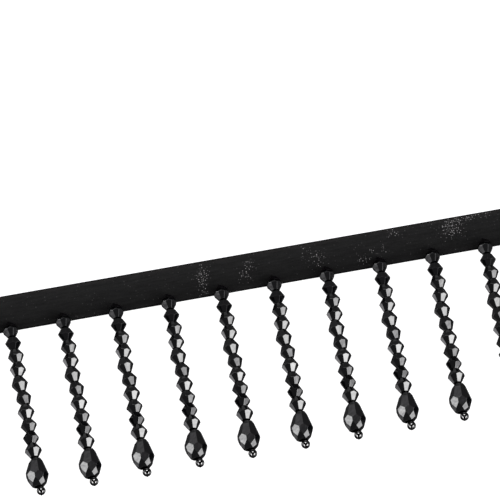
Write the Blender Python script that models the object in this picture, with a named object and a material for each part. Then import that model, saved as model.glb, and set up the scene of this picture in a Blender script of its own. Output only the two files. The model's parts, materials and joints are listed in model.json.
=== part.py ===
"""Beaded fringe trim: a straight length of woven tape with bead drops strung from its lower edge.

The trim lies flat. X runs along the tape, the tape is on the +Y side and the drops point to -Y, +Z is up.
The origin is the middle of the footprint, on the surface that the trim lies on. Lengths are in metres.
"""

import math
from typing import NamedTuple

import bmesh
import bpy
from mathutils import Matrix, Vector

MM = 0.001

# Tape: a cut length of doubled woven tape, flat below and a little puckered above between the drops.
DROP_COUNT = 10
DROP_PITCH = 14.0 * MM
TAPE_LENGTH = DROP_COUNT * DROP_PITCH
TAPE_WIDTH = 10.0 * MM
TAPE_THICKNESS = 1.0 * MM
TAPE_PUCKER = 0.12 * MM
TAPE_STEPS_PER_DROP = 6
TAPE_EDGE_ROUND = 0.3 * MM

# Gap between pieces that touch on the real trim.
SEAT_GAP = 0.3 * MM

# Cut glass bicone: eight facets above its girdle and eight below, with small flat ends round the hole.
FACETS = 8
BICONE_END_RADIUS = 1.02 * MM
BEAD_END_GAP = 0.12 * MM

# The string's first end, over the tape's lower edge. Y is measured from that edge here and in the rows.
STRING_TOP_Y = 0.96 * MM
STRING_TOP_HEIGHT = 2.85 * MM
STRING_TOP_SIDE = -0.15 * MM

# Thread that roots the string on the tape's face, from the first bead's upper end.
THREAD_RADIUS = 0.3 * MM
ROOT_BEND_Y = 1.75 * MM
ROOT_BEND_HEIGHT = 2.35 * MM
ROOT_END_Y = 2.35 * MM

# Faceted teardrop, measured from its narrow upper end. It lies level on its belly, its tip leaning to -X.
TEARDROP_LENGTH = 7.95 * MM
TEARDROP_BLOCK_RADIUS = 4.0 * MM
TEARDROP_TURN = math.radians(-11.0)
TEARDROP_LEAN = math.radians(-4.6)
TEARDROP_GAP = 0.4 * MM
TEARDROP_SIDE = 0.24 * MM

# Round stop bead, which lies with its hole across the drop, so that the thread turns back round it.
STOP_DIAMETER = 2.1 * MM
STOP_THICKNESS = 1.6 * MM
STOP_SIDE = 0.75 * MM


class Bicone(NamedTuple):
    """One bead of a drop, from the tape down, in millimetres and degrees.

    spin is the azimuth of a facet edge of its lower half, counted from straight up towards +X.
    side and height are where its lower end lies: to the +X side of the drop's line, and above the surface.
    shift is how far its girdle sits to the +X side of the thread, because a bead is a little loose on it.
    """

    length: float
    radius: float
    spin: float
    side: float
    height: float
    shift: float


BICONES = (
    Bicone(length=3.84, radius=1.99, spin=26.5, side=-0.03, height=2.75, shift=-0.10),
    Bicone(length=3.36, radius=2.01, spin=22.5, side=-0.09, height=2.35, shift=0.0),
    Bicone(length=3.68, radius=2.05, spin=6.5, side=0.17, height=2.14, shift=0.0),
    Bicone(length=3.82, radius=2.05, spin=8.5, side=-0.13, height=2.14, shift=-0.03),
    Bicone(length=4.24, radius=2.10, spin=-9.0, side=0.02, height=2.14, shift=-0.10),
    Bicone(length=3.90, radius=1.98, spin=-8.0, side=0.20, height=2.16, shift=0.15),
    Bicone(length=3.97, radius=2.15, spin=2.0, side=0.25, height=2.18, shift=0.0),
    Bicone(length=3.62, radius=2.10, spin=10.0, side=0.40, height=2.14, shift=-0.03),
    Bicone(length=3.48, radius=2.01, spin=19.0, side=0.37, height=2.30, shift=0.0),
    Bicone(length=4.09, radius=2.13, spin=3.5, side=0.40, height=3.02, shift=0.0),
)


class FacetRow(NamedTuple):
    """One ring of flat facets ground on the teardrop, in millimetres.

    The plane of a facet passes at radius from the axis at depth below the upper end, and its radius grows
    by slope for each millimetre of depth. shift is how far the row's middle was ground off the axis, to +X.
    half_step turns the row by half a facet.
    """

    depth: float
    radius: float
    slope: float
    shift: float
    half_step: bool


TEARDROP_ROWS = (
    FacetRow(depth=0.0, radius=1.12, slope=0.68, shift=0.15, half_step=False),
    FacetRow(depth=1.23, radius=1.85, slope=0.335, shift=0.05, half_step=False),
    FacetRow(depth=5.3, radius=2.69, slope=-0.28, shift=0.12, half_step=True),
    FacetRow(depth=6.15, radius=2.50, slope=-0.72, shift=0.08, half_step=False),
    FacetRow(depth=7.48, radius=1.50, slope=-1.05, shift=0.08, half_step=True),
)


class StopRing(NamedTuple):
    """One ring of the stop bead: shares of its thickness along the hole and of its radius."""

    along: float
    radius: float


STOP_RINGS = (
    StopRing(along=0.0, radius=0.55),
    StopRing(along=0.22, radius=0.92),
    StopRing(along=0.5, radius=1.0),
    StopRing(along=0.78, radius=0.92),
    StopRing(along=1.0, radius=0.55),
)


def string_route():
    """Return the points where the beads' ends meet, from the first bead's upper end down."""
    points = [Vector((STRING_TOP_SIDE, STRING_TOP_Y, STRING_TOP_HEIGHT))]
    for bead in BICONES:
        last = points[-1]
        side = bead.side * MM
        height = bead.height * MM
        run = math.sqrt((bead.length * MM) ** 2 - (side - last.x) ** 2 - (height - last.z) ** 2)
        points.append(Vector((side, last.y - run, height)))
    return points


ROUTE = string_route()
TEARDROP_AXIS = Vector((math.sin(TEARDROP_LEAN), -math.cos(TEARDROP_LEAN), 0.0))
TEARDROP_TOP = ROUTE[-1] + TEARDROP_AXIS * TEARDROP_GAP + Vector((TEARDROP_SIDE, 0.0, 0.0))
STOP_REACH = TEARDROP_LENGTH + SEAT_GAP + STOP_DIAMETER / 2
STOP_CENTRE = TEARDROP_TOP + TEARDROP_AXIS * STOP_REACH + Vector((STOP_SIDE, 0.0, 0.0))
DROP_END_Y = STOP_CENTRE.y - STOP_DIAMETER / 2

# The tape's lower edge, placed so that the footprint's middle is at Y = 0.
EDGE_Y = -(TAPE_WIDTH + DROP_END_Y) / 2


def clear_objects():
    """Remove whatever the scene holds."""
    for item in list(bpy.data.objects):
        bpy.data.objects.remove(item, do_unlink=True)


def make_material(name, colour, roughness, specular):
    """Make a plain dielectric material with the given colour, roughness and specular level."""
    material = bpy.data.materials.new(name)
    material.use_nodes = True
    shader = material.node_tree.nodes["Principled BSDF"]
    shader.inputs["Base Color"].default_value = (*colour, 1.0)
    shader.inputs["Roughness"].default_value = roughness
    shader.inputs["Metallic"].default_value = 0.0
    shader.inputs["Specular IOR Level"].default_value = specular
    material.diffuse_color = (*colour, 1.0)
    return material


def add_object(name, mesh, material, location=(0.0, 0.0, 0.0)):
    """Link an object that shows the mesh at the location, with the material."""
    if not mesh.materials:
        mesh.materials.append(material)
    item = bpy.data.objects.new(name, mesh)
    item.location = location
    bpy.context.scene.collection.objects.link(item)
    return item


def finish_mesh(name, work):
    """Turn a bmesh into a mesh with its faces pointing out."""
    bmesh.ops.recalc_face_normals(work, faces=work.faces)
    mesh = bpy.data.meshes.new(name)
    work.to_mesh(mesh)
    work.free()
    return mesh


def ring_frame(direction):
    """Return two unit vectors across a direction: the first is as far up as can be, the second to +X."""
    direction = direction.normalized()
    up = Vector((0.0, 0.0, 1.0))
    if abs(direction.z) > 0.99:
        up = Vector((0.0, 1.0, 0.0))
    up = (up - direction * up.dot(direction)).normalized()
    side = up.cross(direction)
    if side.x < 0.0:
        side = -side
    return up, side


def add_ring(work, centre, direction, radius, first_angle):
    """Add a ring of points round the centre, across the direction, its first at an angle from straight up."""
    up, side = ring_frame(direction)
    ring = []
    for step in range(FACETS):
        angle = first_angle + math.tau * step / FACETS
        reach = up * math.cos(angle) + side * math.sin(angle)
        ring.append(work.verts.new(centre + reach * radius))
    return ring


def join_rings(work, ring, following):
    """Join two rings that have the same number of points by quads."""
    count = len(ring)
    for step in range(count):
        after = (step + 1) % count
        work.faces.new((ring[step], ring[after], following[after], following[step]))


def skin_rings(work, rings):
    """Join each ring of points to the next and close both ends."""
    for ring, following in zip(rings, rings[1:]):
        join_rings(work, ring, following)
    work.faces.new(rings[0])
    work.faces.new(rings[-1])


def add_bicone(work, bead, upper, lower):
    """Add one bead's facets, open at its flat ends, and return the rings of points at its two ends.

    The facets above the girdle stand half a step round from those below it. So each is a pentagon, and the
    girdle is a zigzag of twice as many points: towards the lower end where two lower facets meet, and
    towards the upper end where two upper ones do.
    """
    axis = (lower - upper).normalized()
    half_gap = axis * (BEAD_END_GAP / 2)
    half = (lower - upper).length / 2 - BEAD_END_GAP / 2
    angle = math.radians(bead.spin)
    half_step = math.pi / FACETS
    flat = math.cos(half_step)
    radius = bead.radius * MM
    middle_distance = radius * (1.0 + flat) / 2
    slope = (middle_distance - BICONE_END_RADIUS * flat) / half
    zigzag = (radius - middle_distance) / slope
    centre = (upper + lower) / 2 + Vector((bead.shift * MM, 0.0, 0.0))
    upper_ring = add_ring(work, upper + half_gap, axis, BICONE_END_RADIUS, angle + half_step)
    low_points = add_ring(work, centre + axis * zigzag, axis, radius, angle)
    high_points = add_ring(work, centre - axis * zigzag, axis, radius, angle + half_step)
    lower_ring = add_ring(work, lower - half_gap, axis, BICONE_END_RADIUS, angle)
    for step in range(FACETS):
        after = (step + 1) % FACETS
        low, low_after = low_points[step], low_points[after]
        high, high_after = high_points[step], high_points[after]
        work.faces.new((upper_ring[step], upper_ring[after], high_after, low_after, high))
        work.faces.new((lower_ring[step], low, high, low_after, lower_ring[after]))
    return upper_ring, lower_ring


def make_tape_mesh():
    """Make the tape: an extruded rounded section whose upper face dips a little between the drops."""
    work = bmesh.new()
    steps = DROP_COUNT * TAPE_STEPS_PER_DROP
    rings = []
    for step in range(steps + 1):
        x = -TAPE_LENGTH / 2 + TAPE_LENGTH * step / steps
        # The drops stand half a pitch in from the ends, where the upper face is at its full height.
        dip = TAPE_PUCKER * (1.0 + math.cos(math.tau * x / DROP_PITCH)) / 2
        top = TAPE_THICKNESS - dip
        section = (
            (EDGE_Y, 0.0),
            (EDGE_Y + TAPE_WIDTH, 0.0),
            (EDGE_Y + TAPE_WIDTH, top - TAPE_EDGE_ROUND),
            (EDGE_Y + TAPE_WIDTH - TAPE_EDGE_ROUND, top),
            (EDGE_Y + TAPE_EDGE_ROUND, top),
            (EDGE_Y, top - TAPE_EDGE_ROUND),
        )
        rings.append([work.verts.new((x, y, z)) for y, z in section])
    skin_rings(work, rings)
    bmesh.ops.dissolve_limit(work, angle_limit=math.radians(0.05), verts=work.verts, edges=work.edges)
    return finish_mesh("tape", work)


def make_string_mesh():
    """Make one drop's string of bicones: one solid on its thread, from its root on the tape down."""
    work = bmesh.new()
    start = ROUTE[0]
    first_axis = (ROUTE[1] - start).normalized()
    first_angle = math.radians(BICONES[0].spin) + math.pi / FACETS
    # The thread comes off the tape at 45 degrees, so the lowest point of its end lies below the end's middle.
    root_axis = Vector((0.0, -1.0, 1.0)).normalized()
    root_drop = THREAD_RADIUS * math.sqrt(0.5)
    root_end = Vector((start.x, ROOT_END_Y, TAPE_THICKNESS + SEAT_GAP + root_drop))
    bend = Vector((start.x, ROOT_BEND_Y, ROOT_BEND_HEIGHT))
    bend_axis = root_axis + (start - bend).normalized()
    rings = [
        add_ring(work, root_end, root_axis, THREAD_RADIUS, first_angle),
        add_ring(work, bend, bend_axis, THREAD_RADIUS, first_angle),
        add_ring(work, start - first_axis * BEAD_END_GAP / 2, first_axis, THREAD_RADIUS, first_angle),
    ]
    work.faces.new(rings[0])
    join_rings(work, rings[0], rings[1])
    join_rings(work, rings[1], rings[2])
    last = rings[2]
    for bead, upper, lower in zip(BICONES, ROUTE, ROUTE[1:]):
        upper_ring, lower_ring = add_bicone(work, bead, upper, lower)
        join_rings(work, last, upper_ring)
        last = lower_ring
    work.faces.new(last)
    return finish_mesh("bead_string", work)


def grind_facet(work, point, outward):
    """Cut away what lies outside a plane and close the cut with one flat facet."""
    geometry = list(work.verts) + list(work.edges) + list(work.faces)
    cut = bmesh.ops.bisect_plane(work, geom=geometry, plane_co=point, plane_no=outward, clear_outer=True)
    rim = [item for item in cut["geom_cut"] if isinstance(item, bmesh.types.BMEdge)]
    if rim:
        bmesh.ops.edgeloop_fill(work, edges=rim)


def make_teardrop_mesh():
    """Make the teardrop as a cutter would: a round block with rows of flat facets ground on it."""
    work = bmesh.new()
    bmesh.ops.create_cone(
        work,
        cap_ends=True,
        segments=FACETS,
        radius1=TEARDROP_BLOCK_RADIUS,
        radius2=TEARDROP_BLOCK_RADIUS,
        depth=TEARDROP_LENGTH,
        matrix=Matrix.Translation((0.0, 0.0, -TEARDROP_LENGTH / 2)),
    )
    for row in TEARDROP_ROWS:
        for step in range(FACETS):
            angle = TEARDROP_TURN + math.tau * (step + (0.5 if row.half_step else 0.0)) / FACETS
            radial = Vector((math.cos(angle), math.sin(angle), 0.0))
            # The block's own Y ends up pointing to +X.
            point = radial * (row.radius * MM) + Vector((0.0, row.shift * MM, -row.depth * MM))
            outward = (radial + Vector((0.0, 0.0, row.slope))).normalized()
            grind_facet(work, point, outward)
    up, side = ring_frame(TEARDROP_AXIS)
    turn = Matrix((up, side, -TEARDROP_AXIS)).transposed().to_4x4()
    bmesh.ops.transform(work, matrix=Matrix.Translation(TEARDROP_TOP) @ turn, verts=work.verts)
    return finish_mesh("teardrop", work)


def make_stop_mesh():
    """Make the round stop bead, its hole's axis across the drop and pointing up."""
    work = bmesh.new()
    up, _ = ring_frame(TEARDROP_AXIS)
    rings = []
    for ring in STOP_RINGS:
        centre = STOP_CENTRE + up * (STOP_THICKNESS * (ring.along - 0.5))
        rings.append(add_ring(work, centre, up, ring.radius * STOP_DIAMETER / 2, 0.0))
    skin_rings(work, rings)
    return finish_mesh("stop_bead", work)


def main():
    """Build the tape and its drops."""
    clear_objects()
    cloth = make_material("black_woven_tape", (0.012, 0.011, 0.011), roughness=0.6, specular=0.4)
    glass = make_material("jet_glass", (0.004, 0.004, 0.005), roughness=0.05, specular=0.6)
    add_object("tape", make_tape_mesh(), cloth)
    string_mesh = make_string_mesh()
    teardrop_mesh = make_teardrop_mesh()
    stop_mesh = make_stop_mesh()
    for index in range(DROP_COUNT):
        place = (DROP_PITCH * (index - (DROP_COUNT - 1) / 2), EDGE_Y, 0.0)
        number = f"{index + 1:02d}"
        add_object(f"bead_string_{number}", string_mesh, glass, place)
        add_object(f"teardrop_{number}", teardrop_mesh, glass, place)
        add_object(f"stop_bead_{number}", stop_mesh, glass, place)


main()
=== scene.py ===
"""Looks of a beaded fringe trim: black satin tape with drops of jet glass beads strung from its lower edge.

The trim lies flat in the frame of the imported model: X runs along the tape, the drops point to -Y and +Z is up.
Sizes are in metres. The tables of beads are in millimetres and degrees and repeat the model's own rows.
"""

from __future__ import annotations

import json
import logging
import math
from dataclasses import dataclass
from enum import Enum

import bmesh
import bpy
from mathutils import Matrix, Vector

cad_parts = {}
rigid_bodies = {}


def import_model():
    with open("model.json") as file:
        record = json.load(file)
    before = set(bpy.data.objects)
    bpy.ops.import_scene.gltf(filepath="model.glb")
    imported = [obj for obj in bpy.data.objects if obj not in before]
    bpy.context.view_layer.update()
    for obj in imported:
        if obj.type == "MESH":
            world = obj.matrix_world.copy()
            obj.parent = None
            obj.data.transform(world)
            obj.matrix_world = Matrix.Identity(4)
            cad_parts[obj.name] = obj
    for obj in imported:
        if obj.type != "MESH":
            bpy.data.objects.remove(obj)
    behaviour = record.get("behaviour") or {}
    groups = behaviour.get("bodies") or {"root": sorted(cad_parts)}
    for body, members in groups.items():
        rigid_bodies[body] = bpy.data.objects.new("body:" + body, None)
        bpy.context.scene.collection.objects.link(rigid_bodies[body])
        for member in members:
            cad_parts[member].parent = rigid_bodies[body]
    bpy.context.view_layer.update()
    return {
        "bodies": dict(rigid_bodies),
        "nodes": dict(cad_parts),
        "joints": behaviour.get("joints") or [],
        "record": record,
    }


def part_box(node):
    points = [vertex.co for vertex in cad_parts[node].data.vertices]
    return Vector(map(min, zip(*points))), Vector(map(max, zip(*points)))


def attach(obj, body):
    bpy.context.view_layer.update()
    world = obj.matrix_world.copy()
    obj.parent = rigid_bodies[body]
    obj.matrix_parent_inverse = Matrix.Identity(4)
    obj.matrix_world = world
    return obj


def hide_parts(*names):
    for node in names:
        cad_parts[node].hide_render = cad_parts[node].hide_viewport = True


LOG = logging.getLogger("beaded_fringe_trim")

MM = 0.001
UP = Vector((0.0, 0.0, 1.0))
BODY = "root"


class Slot(Enum):
    """Material slots of the record."""

    TAPE = "tape_cloth"
    GLASS = "jet_glass"


def linear(hex_colour: str) -> tuple[float, float, float, float]:
    """Turn an sRGB hex colour into linear light.

    Args:
        hex_colour: Six hex digits after a hash sign.

    Returns:
        Red, green, blue and a full alpha.
    """
    parts = []
    for start in (1, 3, 5):
        value = int(hex_colour[start : start + 2], 16) / 255.0
        parts.append(value / 12.92 if value <= 0.04045 else ((value + 0.055) / 1.055) ** 2.4)
    return (parts[0], parts[1], parts[2], 1.0)


def add_node(tree: bpy.types.NodeTree, kind: str, settings: dict | None = None, inputs: dict | None = None) -> bpy.types.Node:
    """Add one node to a tree.

    Args:
        tree: The tree that gets the node.
        kind: The node's type name.
        settings: Attributes of the node and their values.
        inputs: Input sockets, by name or number, and the value or the output socket that feeds each.

    Returns:
        The new node.
    """
    node = tree.nodes.new(kind)
    for name, value in (settings or {}).items():
        setattr(node, name, value)
    for key, value in (inputs or {}).items():
        if isinstance(value, bpy.types.NodeSocket):
            tree.links.new(value, node.inputs[key])
        else:
            node.inputs[key].default_value = value
    return node


def new_material(name: str) -> tuple[bpy.types.Material, bpy.types.NodeTree, bpy.types.Node]:
    """Make an empty node material.

    Args:
        name: The material's name.

    Returns:
        The material, its tree and its Principled shader, already joined to the output.
    """
    material = bpy.data.materials.new(name)
    material.use_nodes = True
    tree = material.node_tree
    tree.nodes.clear()
    shader = add_node(tree, "ShaderNodeBsdfPrincipled")
    add_node(tree, "ShaderNodeOutputMaterial", inputs={"Surface": shader.outputs["BSDF"]})
    return material, tree, shader


@dataclass(frozen=True)
class JetGlass:
    """Jet glass, machine cut and polished: deep black that mirrors the lights in its flat facets."""

    name: str = "jet_glass_cut_polished"
    body: str = "#040405"
    # Polished glass mirrors sharply; handling leaves a faint haze that dulls it in patches.
    roughness_low: float = 0.02
    roughness_high: float = 0.07
    ior: float = 1.58
    haze_size: float = 0.9 * MM
    # Polishing leaves the facets very slightly wavy, which bends the edge of each mirrored light.
    wave_size: float = 1.3 * MM
    wave_depth: float = 0.03 * MM

    def material(self) -> bpy.types.Material:
        """Make the material."""
        material, tree, shader = new_material(self.name)
        shader.inputs["Base Color"].default_value = linear(self.body)
        shader.inputs["IOR"].default_value = self.ior
        place = add_node(tree, "ShaderNodeTexCoord").outputs["Object"]
        haze = add_node(
            tree, "ShaderNodeTexNoise", inputs={"Vector": place, "Scale": 1.0 / self.haze_size, "Detail": 3.0}
        )
        dull = add_node(
            tree,
            "ShaderNodeMapRange",
            inputs={0: haze.outputs["Fac"], 1: 0.35, 2: 0.75, 3: self.roughness_low, 4: self.roughness_high},
        )
        tree.links.new(dull.outputs[0], shader.inputs["Roughness"])
        wave = add_node(
            tree, "ShaderNodeTexNoise", inputs={"Vector": place, "Scale": 1.0 / self.wave_size, "Detail": 1.0}
        )
        bump = add_node(
            tree,
            "ShaderNodeBump",
            inputs={"Strength": 1.0, "Distance": self.wave_depth, "Height": wave.outputs["Fac"]},
        )
        tree.links.new(bump.outputs["Normal"], shader.inputs["Normal"])
        return material


@dataclass(frozen=True)
class PaintedGlintPatch:
    """A patch of the satin where highlights are painted into its colour, where its floats lie so that they catch the
    light, in millimetres.

    along is counted from the first drop and across from the tape's lower edge.
    """

    along: float
    across: float
    length: float
    width: float
    strength: float


# Patches where highlights are painted into the satin's colour.
PAINTED_GLINT_PATCHES = (
    PaintedGlintPatch(along=51.6, across=5.0, length=1.4, width=5.0, strength=1.0),
    PaintedGlintPatch(along=61.5, across=3.9, length=1.2, width=1.4, strength=0.5),
    PaintedGlintPatch(along=64.0, across=5.4, length=1.6, width=3.4, strength=0.55),
    PaintedGlintPatch(along=79.8, across=7.3, length=1.3, width=2.2, strength=0.7),
    PaintedGlintPatch(along=82.6, across=4.7, length=1.4, width=2.6, strength=0.95),
    PaintedGlintPatch(along=94.6, across=2.6, length=2.0, width=1.1, strength=1.0),
    PaintedGlintPatch(along=97.8, across=4.1, length=2.8, width=1.5, strength=1.1),
    PaintedGlintPatch(along=101.9, across=8.3, length=2.4, width=1.1, strength=0.95),
    PaintedGlintPatch(along=117.5, across=6.9, length=3.2, width=2.2, strength=1.0),
    PaintedGlintPatch(along=124.0, across=9.0, length=6.5, width=0.8, strength=0.9),
)


@dataclass(frozen=True)
class SatinTape:
    """Polyester satin, woven narrow: near black, with small highlights painted into its colour where its floats catch
    the light.
    """

    name: str = "black_polyester_satin_tape"
    # The colour of the painted highlights on the floats.
    painted_glint_colour: str = "#8e8c8c"
    roughness: float = 0.55
    # Dyed black through, so little light comes back from the fibres' faces.
    specular: float = 0.045
    # Real satin floats lie about 0.12 mm apart. Here they are drawn at 0.45 mm, the spacing of the glints that show.
    float_pitch: float = 0.45 * MM
    rib_pitch: float = 0.34 * MM
    weave_depth: float = 0.03 * MM
    # Tone across the tape, from the drops' edge: a dark stitched line near it, and lighter towards the far edge.
    tones: tuple[tuple[float, str], ...] = (
        (0.0, "#0c0c0c"),
        (0.06, "#101010"),
        (0.16, "#0c0c0c"),
        (0.22, "#0f0f0f"),
        (0.5, "#131313"),
        (0.86, "#171717"),
        (0.93, "#1a1919"),
        (1.0, "#111111"),
    )

    def painted_glint_strength(self, tree: bpy.types.NodeTree, axes: bpy.types.Node, first_drop: float, lower_edge: float) -> bpy.types.NodeSocket:
        """Add up the patches where highlights are painted on the satin.

        Args:
            tree: The material's tree.
            axes: The node that gives the place along and across.
            first_drop: X of the first drop.
            lower_edge: Y of the tape's lower edge.

        Returns:
            The socket with the strength of the painted glints, 0 to about 1.
        """
        total: bpy.types.NodeSocket | float = 0.02
        for patch in PAINTED_GLINT_PATCHES:
            squares = []
            for axis, middle, reach in (
                (0, first_drop + patch.along * MM, patch.length * MM),
                (1, lower_edge + patch.across * MM, patch.width * MM),
            ):
                away = add_node(
                    tree,
                    "ShaderNodeMath",
                    settings={"operation": "MULTIPLY_ADD"},
                    inputs={0: axes.outputs[axis], 1: 1.0 / reach, 2: -middle / reach},
                )
                squares.append(
                    add_node(
                        tree,
                        "ShaderNodeMath",
                        settings={"operation": "MULTIPLY"},
                        inputs={0: away.outputs[0], 1: away.outputs[0]},
                    ).outputs[0]
                )
            reach_sum = add_node(
                tree, "ShaderNodeMath", settings={"operation": "ADD"}, inputs={0: squares[0], 1: squares[1]}
            )
            fade = add_node(
                tree, "ShaderNodeMath", settings={"operation": "POWER"}, inputs={0: 1.0 / math.e, 1: reach_sum.outputs[0]}
            )
            total = add_node(
                tree,
                "ShaderNodeMath",
                settings={"operation": "MULTIPLY_ADD"},
                inputs={0: fade.outputs[0], 1: patch.strength, 2: total},
            ).outputs[0]
        return total

    def material(self, lower_edge: float, upper_edge: float, first_drop: float) -> bpy.types.Material:
        """Make the material.

        Args:
            lower_edge: Y of the tape's lower edge.
            upper_edge: Y of its upper edge.
            first_drop: X of the first drop.

        Returns:
            The material.
        """
        material, tree, shader = new_material(self.name)
        shader.inputs["IOR"].default_value = 1.52
        shader.inputs["Roughness"].default_value = self.roughness
        shader.inputs["Specular IOR Level"].default_value = self.specular
        place = add_node(tree, "ShaderNodeTexCoord").outputs["Object"]
        axes = add_node(tree, "ShaderNodeSeparateXYZ", inputs={0: place})

        # Weave: fine ribs across the tape and floats along it, as height.
        weave: bpy.types.NodeSocket | float = 1.0
        for direction, pitch in (("X", self.rib_pitch), ("Y", self.float_pitch)):
            bands = add_node(
                tree,
                "ShaderNodeTexWave",
                settings={"wave_type": "BANDS", "bands_direction": direction},
                inputs={"Vector": place, "Scale": math.tau / 20.0 / pitch, "Distortion": 0.5, "Detail": 1.0},
            )
            weave = add_node(
                tree, "ShaderNodeMath", settings={"operation": "MULTIPLY"}, inputs={0: bands.outputs["Fac"], 1: weave}
            ).outputs[0]
        bump = add_node(
            tree, "ShaderNodeBump", inputs={"Strength": 1.0, "Distance": self.weave_depth, "Height": weave}
        )
        tree.links.new(bump.outputs["Normal"], shader.inputs["Normal"])

        # Painted glints: single floats, picked at random and lightened towards grey as painted highlights, thick in the
        # patches and rare elsewhere.
        cells = add_node(
            tree,
            "ShaderNodeTexVoronoi",
            settings={"feature": "F1"},
            inputs={"Vector": place, "Scale": 1.0 / self.float_pitch, "Randomness": 0.4},
        )
        spot = add_node(
            tree,
            "ShaderNodeMapRange",
            settings={"interpolation_type": "SMOOTHSTEP"},
            inputs={0: cells.outputs["Distance"], 1: 0.12, 2: 0.35, 3: 1.0, 4: 0.0},
        )
        lot = add_node(tree, "ShaderNodeSeparateColor", inputs={0: cells.outputs["Color"]})
        chance = add_node(
            tree,
            "ShaderNodeMath",
            settings={"operation": "ADD"},
            inputs={0: lot.outputs[0], 1: self.painted_glint_strength(tree, axes, first_drop, lower_edge)},
        )
        chosen = add_node(tree, "ShaderNodeMapRange", inputs={0: chance.outputs[0], 1: 0.92, 2: 1.5, 3: 0.0, 4: 1.0})
        # How strongly each float's painted highlight shows.
        bright = add_node(
            tree,
            "ShaderNodeMath",
            settings={"operation": "MULTIPLY"},
            inputs={0: spot.outputs[0], 1: chosen.outputs[0]},
        )

        # Tone: the dye and the lie of the yarns, a little uneven along and in streaks.
        across = add_node(
            tree, "ShaderNodeMapRange", inputs={0: axes.outputs[1], 1: lower_edge, 2: upper_edge, 3: 0.0, 4: 1.0}
        )
        tone = add_node(tree, "ShaderNodeValToRGB", inputs={0: across.outputs[0]})
        ramp = tone.color_ramp
        ramp.elements[0].color = linear(self.tones[0][1])
        ramp.elements[1].color = linear(self.tones[-1][1])
        for position, shade in self.tones[1:-1]:
            ramp.elements.new(position).color = linear(shade)
        stretched = add_node(tree, "ShaderNodeMapping", inputs={"Vector": place, "Scale": (0.12, 1.0, 1.0)})
        streaks = add_node(
            tree,
            "ShaderNodeTexNoise",
            inputs={"Vector": stretched.outputs[0], "Scale": 1.0 / (0.55 * MM), "Detail": 3.0, "Roughness": 0.65},
        )
        worn = add_node(tree, "ShaderNodeMapRange", inputs={0: streaks.outputs["Fac"], 1: 0.3, 2: 0.7, 3: 0.72, 4: 1.3})
        dyed = add_node(
            tree,
            "ShaderNodeVectorMath",
            settings={"operation": "SCALE"},
            inputs={0: tone.outputs[0], "Scale": worn.outputs[0]},
        )
        # Where a float is picked, the painted highlight lightens the base colour towards grey.
        colour = add_node(
            tree,
            "ShaderNodeMix",
            settings={"data_type": "RGBA"},
            inputs={0: bright.outputs[0], 6: dyed.outputs[0], 7: linear(self.painted_glint_colour)},
        )
        tree.links.new(colour.outputs[2], shader.inputs["Base Color"])
        return material


@dataclass(frozen=True)
class BeadingThread:
    """Twisted nylon beading thread, black and lightly waxed: matt, with its plies showing as fine turns."""

    name: str = "waxed_nylon_thread"
    body: str = "#040304"
    roughness: float = 0.5
    # Wax fills the nylon's surface, so it mirrors less than bare nylon does.
    specular: float = 0.03
    twist_pitch: float = 0.35 * MM

    def material(self) -> bpy.types.Material:
        """Make the material."""
        material, tree, shader = new_material(self.name)
        shader.inputs["Base Color"].default_value = linear(self.body)
        shader.inputs["Roughness"].default_value = self.roughness
        shader.inputs["Specular IOR Level"].default_value = self.specular
        place = add_node(tree, "ShaderNodeTexCoord").outputs["Object"]
        plies = add_node(
            tree,
            "ShaderNodeTexWave",
            settings={"wave_type": "BANDS", "bands_direction": "DIAGONAL"},
            inputs={"Vector": place, "Scale": math.tau / 20.0 / self.twist_pitch},
        )
        bump = add_node(
            tree, "ShaderNodeBump", inputs={"Strength": 1.0, "Distance": 0.02 * MM, "Height": plies.outputs["Fac"]}
        )
        tree.links.new(bump.outputs["Normal"], shader.inputs["Normal"])
        return material


@dataclass(frozen=True)
class OpalTable:
    """Opal acrylic light table, sanded matt: glows an even white, so the trim casts no shadow that shows."""

    name: str = "opal_acrylic_light_table"
    body: str = "#8a8a8a"
    glow: str = "#ffffff"
    glow_strength: float = 1.0
    roughness: float = 0.9

    def material(self) -> bpy.types.Material:
        """Make the material."""
        material, tree, shader = new_material(self.name)
        shader.inputs["Base Color"].default_value = linear(self.body)
        shader.inputs["Roughness"].default_value = self.roughness
        shader.inputs["Specular IOR Level"].default_value = 0.0
        shader.inputs["Emission Color"].default_value = linear(self.glow)
        shader.inputs["Emission Strength"].default_value = self.glow_strength
        return material


def mesh_object(name: str, work: bmesh.types.BMesh, material: bpy.types.Material) -> bpy.types.Object:
    """Turn a bmesh into an object in the scene.

    Args:
        name: The object's name.
        work: The bmesh, which is freed.
        material: The material of all its faces.

    Returns:
        The object.
    """
    bmesh.ops.recalc_face_normals(work, faces=work.faces)
    mesh = bpy.data.meshes.new(name)
    work.to_mesh(mesh)
    work.free()
    mesh.materials.append(material)
    item = bpy.data.objects.new(name, mesh)
    bpy.context.scene.collection.objects.link(item)
    return item


def across_frame(direction: Vector) -> tuple[Vector, Vector]:
    """Return two unit vectors across a direction: the first as far up as can be, the second to +X."""
    direction = direction.normalized()
    up = UP if abs(direction.z) < 0.99 else Vector((0.0, 1.0, 0.0))
    up = (up - direction * up.dot(direction)).normalized()
    side = up.cross(direction)
    if side.x < 0.0:
        side = -side
    return up, side


class Facing(Enum):
    """Which way a row of facets leans."""

    UPPER = 1.0
    LOWER = -1.0


def grind_facet(work: bmesh.types.BMesh, point: Vector, outward: Vector) -> None:
    """Cut away what lies outside a plane and close the cut with one flat facet.

    Args:
        work: The block that is cut.
        point: A point of the plane.
        outward: The plane's normal, towards what is cut away.
    """
    geometry = list(work.verts) + list(work.edges) + list(work.faces)
    cut = bmesh.ops.bisect_plane(work, geom=geometry, plane_co=point, plane_no=outward, clear_outer=True)
    rim = [item for item in cut["geom_cut"] if isinstance(item, bmesh.types.BMEdge)]
    if rim:
        bmesh.ops.edgeloop_fill(work, edges=rim)


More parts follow.
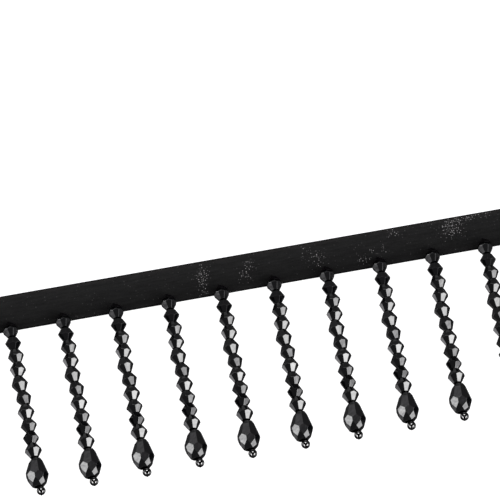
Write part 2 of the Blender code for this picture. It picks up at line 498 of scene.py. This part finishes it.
def drill_hole(work: bmesh.types.BMesh, end_radius: float, hole_radius: float) -> None:
    """Open a hole along local Z through a bead that is centred on that axis.

    Args:
        work: The bead, whose flat ends are its highest and lowest faces.
        end_radius: The radius of the flat ends.
        hole_radius: The radius of the hole.
    """
    work.faces.ensure_lookup_table()
    ends = [max(work.faces, key=lambda f: f.calc_center_median().z), min(work.faces, key=lambda f: f.calc_center_median().z)]
    bmesh.ops.inset_individual(work, faces=ends, thickness=end_radius - hole_radius, use_even_offset=True)
    rims = [list(face.edges) for face in ends]
    bmesh.ops.delete(work, geom=ends, context="FACES_ONLY")
    bmesh.ops.bridge_loops(work, edges=rims[0] + rims[1])


def polish_edges(work: bmesh.types.BMesh, width: float, steps: int = 2) -> None:
    """Round the edges between facets by a small bevel.

    Args:
        work: The bead.
        width: How far from the edge the bevel starts.
        steps: Strips across the bevel.
    """
    sharp = [e for e in work.edges if e.is_manifold and e.calc_face_angle() > math.radians(3.0)]
    bmesh.ops.bevel(
        work, geom=sharp, offset=width, offset_type="OFFSET", segments=steps, profile=0.5, affect="EDGES", clamp_overlap=True
    )


@dataclass(frozen=True)
class BiconeRow:
    """One bead of a drop, from the tape down, in millimetres and degrees.

    spin is the azimuth of a facet edge of its lower half, counted from straight up towards +X.
    side and height are where its lower end lies: to the +X side of the drop's line, and above the surface.
    lean is how far its lower end turns to +X, and shift how far it sits to the +X side of its thread, because
    a bead is a little loose on it. end_radius is that of its flat ends.
    """

    length: float
    radius: float
    spin: float
    side: float
    height: float
    lean: float
    shift: float
    end_radius: float = 1.14


BICONES = (
    BiconeRow(length=3.84, radius=2.04, spin=26.5, side=-0.03, height=2.75, lean=0.0, shift=-0.10, end_radius=1.03),
    BiconeRow(length=3.36, radius=2.13, spin=22.5, side=-0.09, height=2.35, lean=-3.0, shift=0.0),
    BiconeRow(length=3.68, radius=2.17, spin=7.5, side=0.17, height=2.14, lean=0.5, shift=0.0),
    BiconeRow(length=3.82, radius=2.17, spin=8.5, side=-0.13, height=2.14, lean=-3.0, shift=-0.03),
    BiconeRow(length=4.24, radius=2.22, spin=-6.5, side=0.02, height=2.04, lean=4.0, shift=-0.10),
    BiconeRow(length=3.90, radius=2.10, spin=-9.0, side=0.20, height=2.16, lean=8.5, shift=0.15),
    BiconeRow(length=3.97, radius=2.27, spin=2.0, side=0.25, height=2.18, lean=-1.5, shift=0.0),
    BiconeRow(length=3.62, radius=2.22, spin=10.0, side=0.40, height=2.14, lean=1.0, shift=-0.03),
    BiconeRow(length=3.48, radius=2.13, spin=19.0, side=0.28, height=2.42, lean=-5.0, shift=0.0),
    BiconeRow(length=4.09, radius=2.29, spin=4.5, side=0.43, height=3.02, lean=-2.0, shift=0.03),
)


@dataclass(frozen=True)
class FacetRow:
    """One ring of flat facets on the teardrop, in millimetres.

    A facet passes at radius from the axis at depth below the upper end, and its radius grows by slope for
    each millimetre of depth. shift is how far the row's middle was ground off the axis, to +X. half_step
    turns the row by half a facet.
    """

    depth: float
    radius: float
    slope: float
    shift: float
    half_step: bool


TEARDROP_ROWS = (
    FacetRow(depth=0.0, radius=1.12, slope=0.68, shift=0.15, half_step=False),
    FacetRow(depth=1.23, radius=1.85, slope=0.335, shift=0.05, half_step=False),
    FacetRow(depth=5.3, radius=2.69, slope=-0.28, shift=0.12, half_step=True),
    FacetRow(depth=6.15, radius=2.54, slope=-0.6, shift=0.08, half_step=False),
    FacetRow(depth=7.4, radius=1.78, slope=-1.0, shift=0.08, half_step=True),
)


@dataclass(frozen=True)
class Layout:
    """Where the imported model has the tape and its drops."""

    left: float
    right: float
    lower_edge: float
    upper_edge: float
    top: float
    drops: int

    @classmethod
    def from_frame(cls, frame: dict) -> Layout:
        """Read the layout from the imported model."""
        low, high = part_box("tape")
        drops = sum(name.startswith("bead_string_") for name in frame["nodes"])
        return cls(left=low.x, right=high.x, lower_edge=low.y, upper_edge=high.y, top=high.z, drops=drops)

    @property
    def pitch(self) -> float:
        """Distance between drops."""
        return (self.right - self.left) / self.drops

    def drop_x(self, index: int) -> float:
        """X of a drop's line."""
        return self.left + self.pitch * (index + 0.5)


@dataclass
class Drop:
    """One drop: ten cut bicones, a teardrop and a stop bead on one thread."""

    layout: Layout
    index: int
    facets: int = 8
    end_gap: float = 0.12 * MM
    seat_gap: float = 0.3 * MM
    hole_radius: float = 0.45 * MM
    edge_polish: float = 0.055 * MM
    top_y: float = 0.96 * MM
    top_height: float = 1.82 * MM
    top_side: float = -0.15 * MM
    teardrop_length: float = 7.8 * MM
    teardrop_pitch_up: float = math.radians(0.0)
    teardrop_turn: float = math.radians(-11.0)
    teardrop_lean: float = math.radians(-4.6)
    teardrop_side: float = 0.24 * MM
    stop_side: float = 0.75 * MM
    stop_gap: float = 0.04 * MM
    stop_diameter: float = 2.36 * MM
    stop_thickness: float = 1.3 * MM
    stop_hole_radius: float = 0.55 * MM
    stop_tilt: float = math.radians(20.0)
    thread_radius: float = 0.15 * MM
    # The thread wound over the first bead's upper end: partly the real knot, partly a dark cap of painted shade and
    # dark reflection over the bead's upper facets.
    knot_shade_cap_radius: float = 1.58 * MM
    knot_shade_cap_turns: int = 8
    knot_shade_cap_depth: float = 1.0 * MM
    knot_shade_cap_rise: float = 0.8 * MM
    # The thread lies double where it turns round the stop bead, and is knotted in the bead's hole.
    doubled: float = 1.7
    hole_knot_radius: float = 0.14 * MM

    @property
    def number(self) -> str:
        """The drop's number, as the model's nodes have it."""
        return f"{self.index + 1:02d}"

    def route(self) -> list[Vector]:
        """Return the points where the bicones' ends meet, from the first one's upper end down."""
        points = [Vector((self.top_side, self.top_y, self.top_height))]
        for row in BICONES:
            last = points[-1]
            side = row.side * MM
            height = row.height * MM
            run = math.sqrt((row.length * MM) ** 2 - (side - last.x) ** 2 - (height - last.z) ** 2)
            points.append(Vector((side, last.y - run, height)))
        origin = Vector((self.layout.drop_x(self.index), self.layout.lower_edge, 0.0))
        return [origin + point for point in points]

    def teardrop_axis(self) -> Vector:
        """Return the direction in which the teardrop points."""
        flat = Vector((math.sin(self.teardrop_lean), -math.cos(self.teardrop_lean), 0.0))
        return (flat * math.cos(self.teardrop_pitch_up) + UP * math.sin(self.teardrop_pitch_up)).normalized()

    def teardrop_top(self) -> Vector:
        """Return the middle of the teardrop's upper end."""
        return self.route()[-1] + self.teardrop_axis() * self.seat_gap + Vector((self.teardrop_side, 0.0, 0.0))

    def stop_centre(self) -> Vector:
        """Return the stop bead's centre."""
        reach = self.teardrop_length + self.stop_gap + self.stop_diameter / 2
        return self.teardrop_top() + self.teardrop_axis() * reach + Vector((self.stop_side, 0.0, 0.0))

    def cut_bicone(self, work: bmesh.types.BMesh, row: BiconeRow, upper: Vector, lower: Vector) -> None:
        """Cut one bicone with two staggered rows of facets and set it in its place.

        Args:
            work: The mesh that gets the bead.
            row: The bead's row.
            upper: Where its upper end meets its neighbour.
            lower: Where its lower end meets its neighbour.
        """
        radius = row.radius * MM
        half = (lower - upper).length / 2 - self.end_gap / 2
        # Where an edge of one row meets the middle of a facet of the other, the girdle stands out furthest.
        flat = math.cos(math.pi / self.facets)
        apothem = radius * (1.0 + flat) / 2
        slope = (apothem - row.end_radius * MM * flat) / half
        bead = bmesh.new()
        bmesh.ops.create_cone(
            bead, cap_ends=True, segments=self.facets, radius1=radius * 1.6, radius2=radius * 1.6, depth=2 * half
        )
        for facing in Facing:
            half_step = 0.5 if facing is Facing.LOWER else 0.0
            for step in range(self.facets):
                angle = math.radians(row.spin) + math.tau * (step + half_step) / self.facets
                radial = Vector((math.cos(angle), math.sin(angle), 0.0))
                outward = (radial + Vector((0.0, 0.0, facing.value * slope))).normalized()
                grind_facet(bead, radial * apothem, outward)
        drill_hole(bead, row.end_radius * MM * flat, self.hole_radius)
        polish_edges(bead, self.edge_polish)
        axis = (lower - upper).normalized()
        turn = Matrix.Rotation(math.radians(row.lean), 3, UP)
        axis = (turn @ axis).normalized()
        up, side = across_frame(axis)
        basis = Matrix((up, side, -axis)).transposed().to_4x4()
        centre = (upper + lower) / 2 + Vector((row.shift * MM, 0.0, 0.0))
        bead.transform(Matrix.Translation(centre) @ basis)
        part = bpy.data.meshes.new("bead")
        bead.to_mesh(part)
        bead.free()
        work.from_mesh(part)
        bpy.data.meshes.remove(part)

    def build_bicones(self, glass: bpy.types.Material) -> bpy.types.Object:
        """Cut and string the ten bicones."""
        work = bmesh.new()
        route = self.route()
        for row, upper, lower in zip(BICONES, route, route[1:]):
            self.cut_bicone(work, row, upper, lower)
        piece = mesh_object(f"cut_bicones_{self.number}", work, glass)
        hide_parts(f"bead_string_{self.number}")
        return piece

    def build_teardrop(self, glass: bpy.types.Material) -> bpy.types.Object:
        """Cut the faceted teardrop and set it in its place."""
        work = bmesh.new()
        block_radius = 4.0 * MM
        bmesh.ops.create_cone(
            work,
            cap_ends=True,
            segments=self.facets,
            radius1=block_radius,
            radius2=block_radius,
            depth=self.teardrop_length,
            matrix=Matrix.Translation((0.0, 0.0, -self.teardrop_length / 2)),
        )
        for row in TEARDROP_ROWS:
            for step in range(self.facets):
                angle = self.teardrop_turn + math.tau * (step + (0.5 if row.half_step else 0.0)) / self.facets
                radial = Vector((math.cos(angle), math.sin(angle), 0.0))
                # Local Y is the side towards +X.
                point = radial * (row.radius * MM) - UP * (row.depth * MM) + Vector((0.0, row.shift * MM, 0.0))
                grind_facet(work, point, (radial + UP * row.slope).normalized())
        drill_hole(work, 0.85 * MM, self.hole_radius)
        polish_edges(work, self.edge_polish)
        up, side = across_frame(self.teardrop_axis())
        basis = Matrix((up, side, -self.teardrop_axis())).transposed().to_4x4()
        work.transform(Matrix.Translation(self.teardrop_top()) @ basis)
        piece = mesh_object(f"cut_teardrop_{self.number}", work, glass)
        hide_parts(f"teardrop_{self.number}")
        return piece

    def stop_frame(self) -> tuple[Vector, Vector, Vector]:
        """Return the stop bead's own directions: to its right, towards the teardrop, and out of its hole."""
        back = -self.teardrop_axis()
        right = back.cross(UP).normalized()
        tip = Matrix.Rotation(self.stop_tilt, 3, right)
        return right, tip @ back, tip @ right.cross(back)

    def build_stop(self, glass: bpy.types.Material) -> bpy.types.Object:
        """Turn the round stop bead, a rocaille whose hole points up across the drop."""
        work = bmesh.new()
        outer = self.stop_diameter / 2
        middle = (outer + self.stop_hole_radius) / 2
        wall = (outer - self.stop_hole_radius) / 2
        around, section = 32, 16
        right, forward, up = self.stop_frame()
        centre = self.stop_centre()
        rings = []
        for step in range(around):
            turn = math.tau * step / around
            radial = right * math.cos(turn) + forward * math.sin(turn)
            ring = []
            for part in range(section):
                angle = math.tau * part / section
                reach = middle + wall * math.cos(angle)
                rise = self.stop_thickness / 2 * math.copysign(abs(math.sin(angle)) ** 0.85, math.sin(angle))
                ring.append(work.verts.new(centre + radial * reach + up * rise))
            rings.append(ring)
        for ring, following in zip(rings, rings[1:] + rings[:1]):
            for part in range(section):
                after = (part + 1) % section
                work.faces.new((ring[part], ring[after], following[after], following[part]))
        piece = mesh_object(f"round_stop_bead_{self.number}", work, glass)
        piece.data.shade_smooth()
        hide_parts(f"stop_bead_{self.number}")
        return piece

    def thread_path(self) -> list[Vector]:
        """Return the thread's centreline: off the tape, through the beads, round the stop bead and back."""
        route = self.route()
        start = route[0]
        face = Vector((start.x, self.layout.lower_edge, self.layout.top))
        points = [
            face + Vector((-0.35, 2.4, -0.25)) * MM,
            face + Vector((-0.2, 2.1, 0.05)) * MM,
            face + Vector((-0.05, 1.8, 0.35)) * MM,
            face + Vector((0.0, 1.4, 0.75)) * MM,
        ]
        points += route
        points += [self.teardrop_top() + self.teardrop_axis() * (self.teardrop_length * share) for share in (0.0, 0.5, 1.0)]
        centre = self.stop_centre()
        right, forward, up = self.stop_frame()
        # Down through the hole's left, up round the lower rim and down again on the right: a Y seen from above.
        for along, away, rise in (
            (-0.30, 0.95, 0.62),
            (-0.52, 0.42, 0.45),
            (-0.05, 0.02, 0.10),
            (0.0, -0.45, 0.40),
            (0.0, -0.95, 0.70),
            (0.0, -1.20, 0.0),
            (0.0, -0.95, -0.70),
            (0.0, -0.45, -0.40),
            (0.05, 0.0, -0.10),
            (0.52, 0.38, -0.40),
            (0.30, 0.95, -0.62),
        ):
            points.append(centre + (right * along + forward * away + up * rise) * MM)
        points.append(self.teardrop_top() + self.teardrop_axis() * (self.teardrop_length - 0.1 * MM) - UP * 0.12 * MM)
        return points

    def knot_shade_cap_path(self) -> list[Vector]:
        """Return the centreline of the thread wound over the first bead's upper end: turns that tighten to a tip, a
        dark cap that is partly the real knot and partly painted shade and dark reflection over the bead's upper facets.
        """
        route = self.route()
        axis = (route[0] - route[1]).normalized()
        up, side = across_frame(axis)
        points = []
        steps = 9 * self.knot_shade_cap_turns
        for step in range(steps + 1):
            share = step / steps
            turn = math.tau * self.knot_shade_cap_turns * share
            reach = self.knot_shade_cap_radius * (1.0 - share**1.6) + self.thread_radius
            along = (self.knot_shade_cap_depth + self.knot_shade_cap_rise) * share - self.knot_shade_cap_depth
            points.append(route[0] + axis * along + (up * math.cos(turn) + side * math.sin(turn)) * reach)
        return points

    def hole_knot_path(self) -> list[Vector]:
        """Return the centreline of the knot in the stop bead's hole: three close turns."""
        right, forward, up = self.stop_frame()
        centre = self.stop_centre()
        points = []
        for step in range(25):
            turn = math.tau * step / 8
            flat = right * math.cos(turn) + forward * math.sin(turn)
            points.append(centre + flat * self.hole_knot_radius + up * (step / 24 - 0.5) * 0.5 * MM)
        return points

    def build_thread(self, nylon: bpy.types.Material) -> bpy.types.Object:
        """Draw the thread and its knots as round tubes along their paths, one of them a dark cap that also stands in
        for shade on the first bead.
        """
        curve = bpy.data.curves.new(f"drop_thread_{self.number}", "CURVE")
        curve.dimensions = "3D"
        curve.bevel_depth = self.thread_radius
        curve.bevel_resolution = 2
        curve.use_fill_caps = True
        curve.resolution_u = 4
        stop = self.stop_centre()
        for points in (self.thread_path(), self.knot_shade_cap_path(), self.hole_knot_path()):
            spline = curve.splines.new("NURBS")
            spline.points.add(len(points) - 1)
            for slot, point in zip(spline.points, points):
                slot.co = (*point, 1.0)
                slot.radius = self.doubled if (point - stop).length < self.stop_diameter / 2 else 1.0
            spline.use_endpoint_u = True
            spline.order_u = 3
        curve.materials.append(nylon)
        source = bpy.data.objects.new(f"drop_thread_curve_{self.number}", curve)
        bpy.context.scene.collection.objects.link(source)
        bpy.context.view_layer.update()
        mesh = bpy.data.meshes.new_from_object(source.evaluated_get(bpy.context.evaluated_depsgraph_get()))
        bpy.data.objects.remove(source)
        bpy.data.curves.remove(curve)
        piece = bpy.data.objects.new(f"drop_thread_{self.number}", mesh)
        bpy.context.scene.collection.objects.link(piece)
        piece.data.shade_smooth()
        return piece

    def build(self, glass: bpy.types.Material, nylon: bpy.types.Material) -> list[bpy.types.Object]:
        """Make the drop's pieces, the beads in glass and the thread in nylon, and attach them to the body."""
        made = [self.build_bicones(glass), self.build_teardrop(glass), self.build_stop(glass)]
        thread = self.build_thread(nylon)
        made.append(thread)
        for piece in made:
            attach(piece, BODY)
        return made


@dataclass
class Tape:
    """The doubled satin tape: flat below, softly uneven above, with rounded woven edges."""

    layout: Layout
    thickness: float = 0.92 * MM
    lift: float = 0.02 * MM
    edge_round: float = 0.4 * MM
    step: float = 0.4 * MM
    across_steps: int = 22
    set_down: float = 0.2 * MM
    pucker: float = 0.08 * MM
    ripple: float = 0.05 * MM
    dent: float = 0.42 * MM
    dent_reach: float = 1.7 * MM

    @property
    def edges(self) -> tuple[float, float]:
        """Y of the drops' edge and of the other."""
        return self.layout.lower_edge - self.set_down, self.layout.upper_edge - self.set_down

    def upper_height(self, x: float, share: float) -> float:
        """Return the upper face's height over the underside.

        Args:
            x: Place along the tape.
            share: Place across it, 0 at the drops' edge and 1 at the other.

        Returns:
            The height in metres.
        """
        low, high = self.edges
        nearest = (x - self.layout.drop_x(0)) % self.layout.pitch
        nearest = min(nearest, self.layout.pitch - nearest)
        pull = (1.0 + math.cos(math.tau * nearest / self.layout.pitch)) / 2
        # Each drop's first bead is drawn down into the edge of the tape.
        away = math.hypot(nearest, (high - low) * share) / self.dent_reach
        sunk = self.dent * math.exp(-away * away)
        drift = math.sin(x / (5.3 * MM) + 1.3 * share) + 0.6 * math.sin(x / (11.9 * MM) - 2.1 * share + 0.8)
        return self.thickness - sunk - self.pucker * pull * (1.0 - 0.6 * share) - self.ripple * (0.5 + 0.3 * drift)

    def section(self, x: float) -> list[tuple[float, float]]:
        """Return one closed cross-section as (y, z) pairs, from the drops' edge of the underside round."""
        low, high = self.edges
        width = high - low
        under = [(low + width * share, self.lift) for share in (0.04, 0.35, 0.65, 0.96)]
        points = list(under)
        for edge_share, sign in ((1.0, 1.0), (0.0, -1.0)):
            height = self.upper_height(x, edge_share)
            middle = self.lift + height / 2
            rim = []
            for part in range(1, 6):
                angle = math.pi * (part / 6 - 0.5)
                rim.append(
                    (
                        (high if sign > 0 else low) + sign * (self.edge_round * math.cos(angle) - self.edge_round),
                        middle + height / 2 * math.sin(angle),
                    )
                )
            if sign > 0:
                points += rim
                for number in range(self.across_steps + 1):
                    share = 0.96 - 0.92 * number / self.across_steps
                    points.append((low + width * share, self.lift + self.upper_height(x, share)))
            else:
                points += rim[::-1]
        return points

    def build(self, satin: bpy.types.Material) -> bpy.types.Object:
        """Weave the tape: cross-sections skinned along its length, closed at the cut ends."""
        work = bmesh.new()
        length = self.layout.right - self.layout.left
        count = round(length / self.step)
        rings = []
        for number in range(count + 1):
            x = self.layout.left + length * number / count
            rings.append([work.verts.new((x, y, z)) for y, z in self.section(x)])
        for ring, following in zip(rings, rings[1:]):
            for part in range(len(ring)):
                after = (part + 1) % len(ring)
                work.faces.new((ring[part], ring[after], following[after], following[part]))
        work.faces.new(rings[0])
        work.faces.new(rings[-1])
        piece = mesh_object("satin_tape", work, satin)
        piece.data.shade_smooth()
        piece.data.set_sharp_from_angle(angle=math.radians(50.0))
        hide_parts("tape")
        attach(piece, BODY)
        return piece


@dataclass(frozen=True)
class SoftBox:
    """A soft light far off: where it stands from the trim, how bright its middle is and how fast it fades."""

    direction: tuple[float, float, float]
    radiance: float
    tightness: float


SOFT_BOXES = (
    SoftBox(direction=(0.70, -0.50, 0.51), radiance=16.5, tightness=21.8),
    SoftBox(direction=(-0.897, 0.126, 0.423), radiance=17.5, tightness=50.0),
    SoftBox(direction=(0.0, 0.62, 0.79), radiance=4.3, tightness=18.0),
    SoftBox(direction=(-0.853, -0.09, -0.515), radiance=2.5, tightness=55.0),
)


@dataclass
class Studio:
    """Light table, soft boxes and the camera at the photograph's angle."""

    layout: Layout
    frame_pixels: tuple[int, int] = (500, 496)
    # Where the tape's lower edge meets the picture's left side, and how far along it the first drop hangs.
    edge_left_pixel: float = 333.1
    first_drop_pixels: float = 11.8
    pitch_pixels: float = 53.48
    tape_rise: float = math.radians(9.97)
    elevation: float = math.radians(70.0)
    distance: float = 5.0
    sensor: float = 36.0
    floor_half: float = 3.0
    lamp_colour: str = "#ffffff"
    rim_colour: str = "#f9f8fc"
    room_level: float = 0.14
    low_level: float = 0.1

    def build_floor(self, table: bpy.types.Material) -> None:
        """Lay the table's face, which the polished glass doesn't mirror: it mirrors the dim room all round."""
        work = bmesh.new()
        bmesh.ops.create_grid(work, x_segments=1, y_segments=1, size=self.floor_half)
        face = mesh_object("studio_floor", work, table)
        face.visible_glossy = False

    def build_camera(self) -> None:
        """Set the camera so that the tape and its drops stand where the photograph has them."""
        width, height = self.frame_pixels
        scale = self.pitch_pixels / self.layout.pitch
        across = width / 2
        down = height / 2 - self.edge_left_pixel
        along_pixels = across * math.cos(self.tape_rise) - down * math.sin(self.tape_rise)
        below_pixels = across * math.sin(self.tape_rise) + down * math.cos(self.tape_rise)
        target = Vector(
            (
                self.layout.drop_x(0) + (along_pixels - self.first_drop_pixels) / scale,
                self.layout.lower_edge - below_pixels / scale / math.sin(self.elevation),
                0.0,
            )
        )
        back = Vector((0.0, -math.cos(self.elevation), math.sin(self.elevation)))
        camera = bpy.data.cameras.new("camera")
        camera.sensor_width = self.sensor
        camera.lens = self.sensor * self.distance / (width / scale)
        camera.clip_start, camera.clip_end = 0.01, 50.0
        item = bpy.data.objects.new("camera", camera)
        item.location = target + back * self.distance
        item.rotation_mode = "QUATERNION"
        level = (-back).to_track_quat("-Z", "Y")
        # Turning the camera to its right makes the tape rise to the right of the picture.
        item.rotation_quaternion = level @ Matrix.Rotation(-self.tape_rise, 3, "Z").to_quaternion()
        bpy.context.scene.collection.objects.link(item)
        bpy.context.scene.camera = item

    def build_lights(self) -> None:
        """Light the trim: a large soft box low on its right, a smaller one on its left, and a dim room."""
        world = bpy.data.worlds.new("studio_room")
        world.use_nodes = True
        tree = world.node_tree
        tree.nodes.clear()
        towards = add_node(tree, "ShaderNodeTexCoord").outputs["Generated"]
        height = add_node(tree, "ShaderNodeSeparateXYZ", inputs={0: towards}).outputs[2]
        level = add_node(
            tree, "ShaderNodeMapRange", inputs={0: height, 1: -0.8, 2: 0.0, 3: self.low_level, 4: self.room_level}
        ).outputs[0]
        for box in SOFT_BOXES:
            # Brightest in its middle and fading evenly to its rim, as a lamp behind diffuser cloth.
            facing = add_node(
                tree,
                "ShaderNodeVectorMath",
                settings={"operation": "DOT_PRODUCT"},
                inputs={0: towards, 1: Vector(box.direction).normalized()},
            )
            fade = add_node(
                tree,
                "ShaderNodeMath",
                settings={"operation": "MULTIPLY_ADD"},
                inputs={0: facing.outputs["Value"], 1: box.tightness, 2: -box.tightness},
            )
            share = add_node(tree, "ShaderNodeMath", settings={"operation": "EXPONENT"}, inputs={0: fade.outputs[0]})
            level = add_node(
                tree,
                "ShaderNodeMath",
                settings={"operation": "MULTIPLY_ADD"},
                inputs={0: share.outputs[0], 1: box.radiance, 2: level},
            ).outputs[0]
        # The diffuser cloth is a little cool where it thins out towards a light's rim.
        share = add_node(tree, "ShaderNodeMapRange", inputs={0: level, 1: 1.0, 2: 11.0, 3: 0.0, 4: 1.0})
        colour = add_node(
            tree,
            "ShaderNodeMix",
            settings={"data_type": "RGBA"},
            inputs={0: share.outputs[0], 6: linear(self.rim_colour), 7: linear(self.lamp_colour)},
        )
        light = add_node(tree, "ShaderNodeBackground", inputs={"Color": colour.outputs[2], "Strength": level})
        add_node(tree, "ShaderNodeOutputWorld", inputs={"Surface": light.outputs[0]})
        bpy.context.scene.world = world

    def build(self) -> None:
        """Set up the whole studio."""
        self.build_floor(OpalTable().material())
        self.build_camera()
        self.build_lights()
        bpy.context.scene.view_settings.view_transform = "Standard"


def main() -> None:
    """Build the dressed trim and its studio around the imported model."""
    logging.basicConfig(level=logging.INFO, format="%(name)s: %(message)s")
    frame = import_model()
    layout = Layout.from_frame(frame)
    Studio(layout).build()

    glass = JetGlass().material()
    nylon = BeadingThread().material()
    tape = Tape(layout)
    satin = SatinTape().material(*tape.edges, first_drop=layout.drop_x(0))
    tape_piece = tape.build(satin)
    LOG.info("%s: %.0f x %.0f mm", tape_piece.name, (layout.right - layout.left) / MM, 10)
    hanging: list[bpy.types.Object] = []
    for index in range(layout.drops):
        made = Drop(layout, index).build(glass, nylon)
        hanging += made
        LOG.info("drop %d: %s", index + 1, ", ".join(piece.name for piece in made))


if __name__ == "__main__":
    main()
